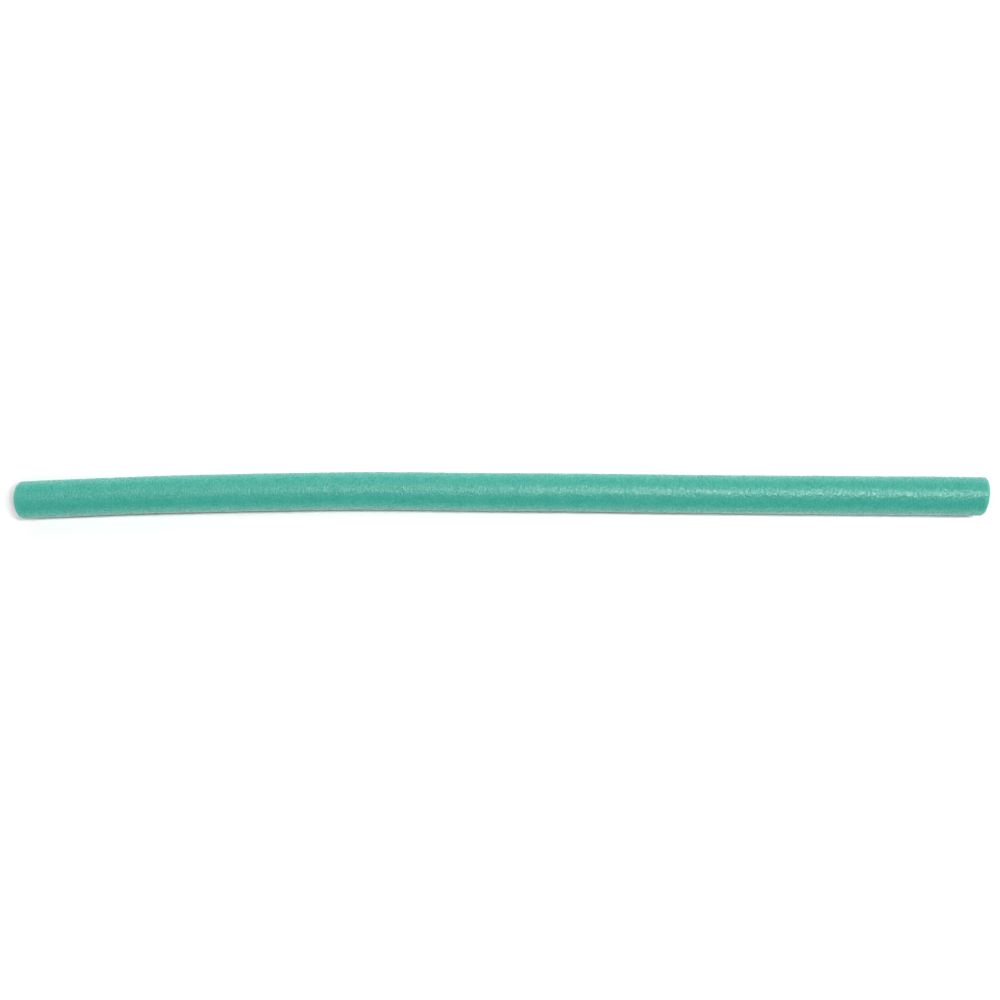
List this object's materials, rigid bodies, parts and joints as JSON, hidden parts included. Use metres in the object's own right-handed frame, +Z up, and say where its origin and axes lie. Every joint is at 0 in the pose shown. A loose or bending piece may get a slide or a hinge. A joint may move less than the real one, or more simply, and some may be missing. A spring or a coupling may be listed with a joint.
{
  "type": "pool noodle",
  "caption": "Long round tube of closed-cell foam with an open bore and plain cut ends, one of them cut a little aslant, lying on its side, slightly bent in plan.",
  "frame": {"origin": "on the ground, under the middle of the noodle's bounding box", "axes": "+X along the noodle from its softer cut end to its crisper one, +Y towards the side that the bend bulges to, +Z up from the flat that it rests on"},
  "size_m": [1.5032, 0.0712, 0.0585],
  "materials": {
    "foam": "satin"
  },
  "bodies": {
    "root": {"foam_tube": "foam"}
  },
  "joints": []
}
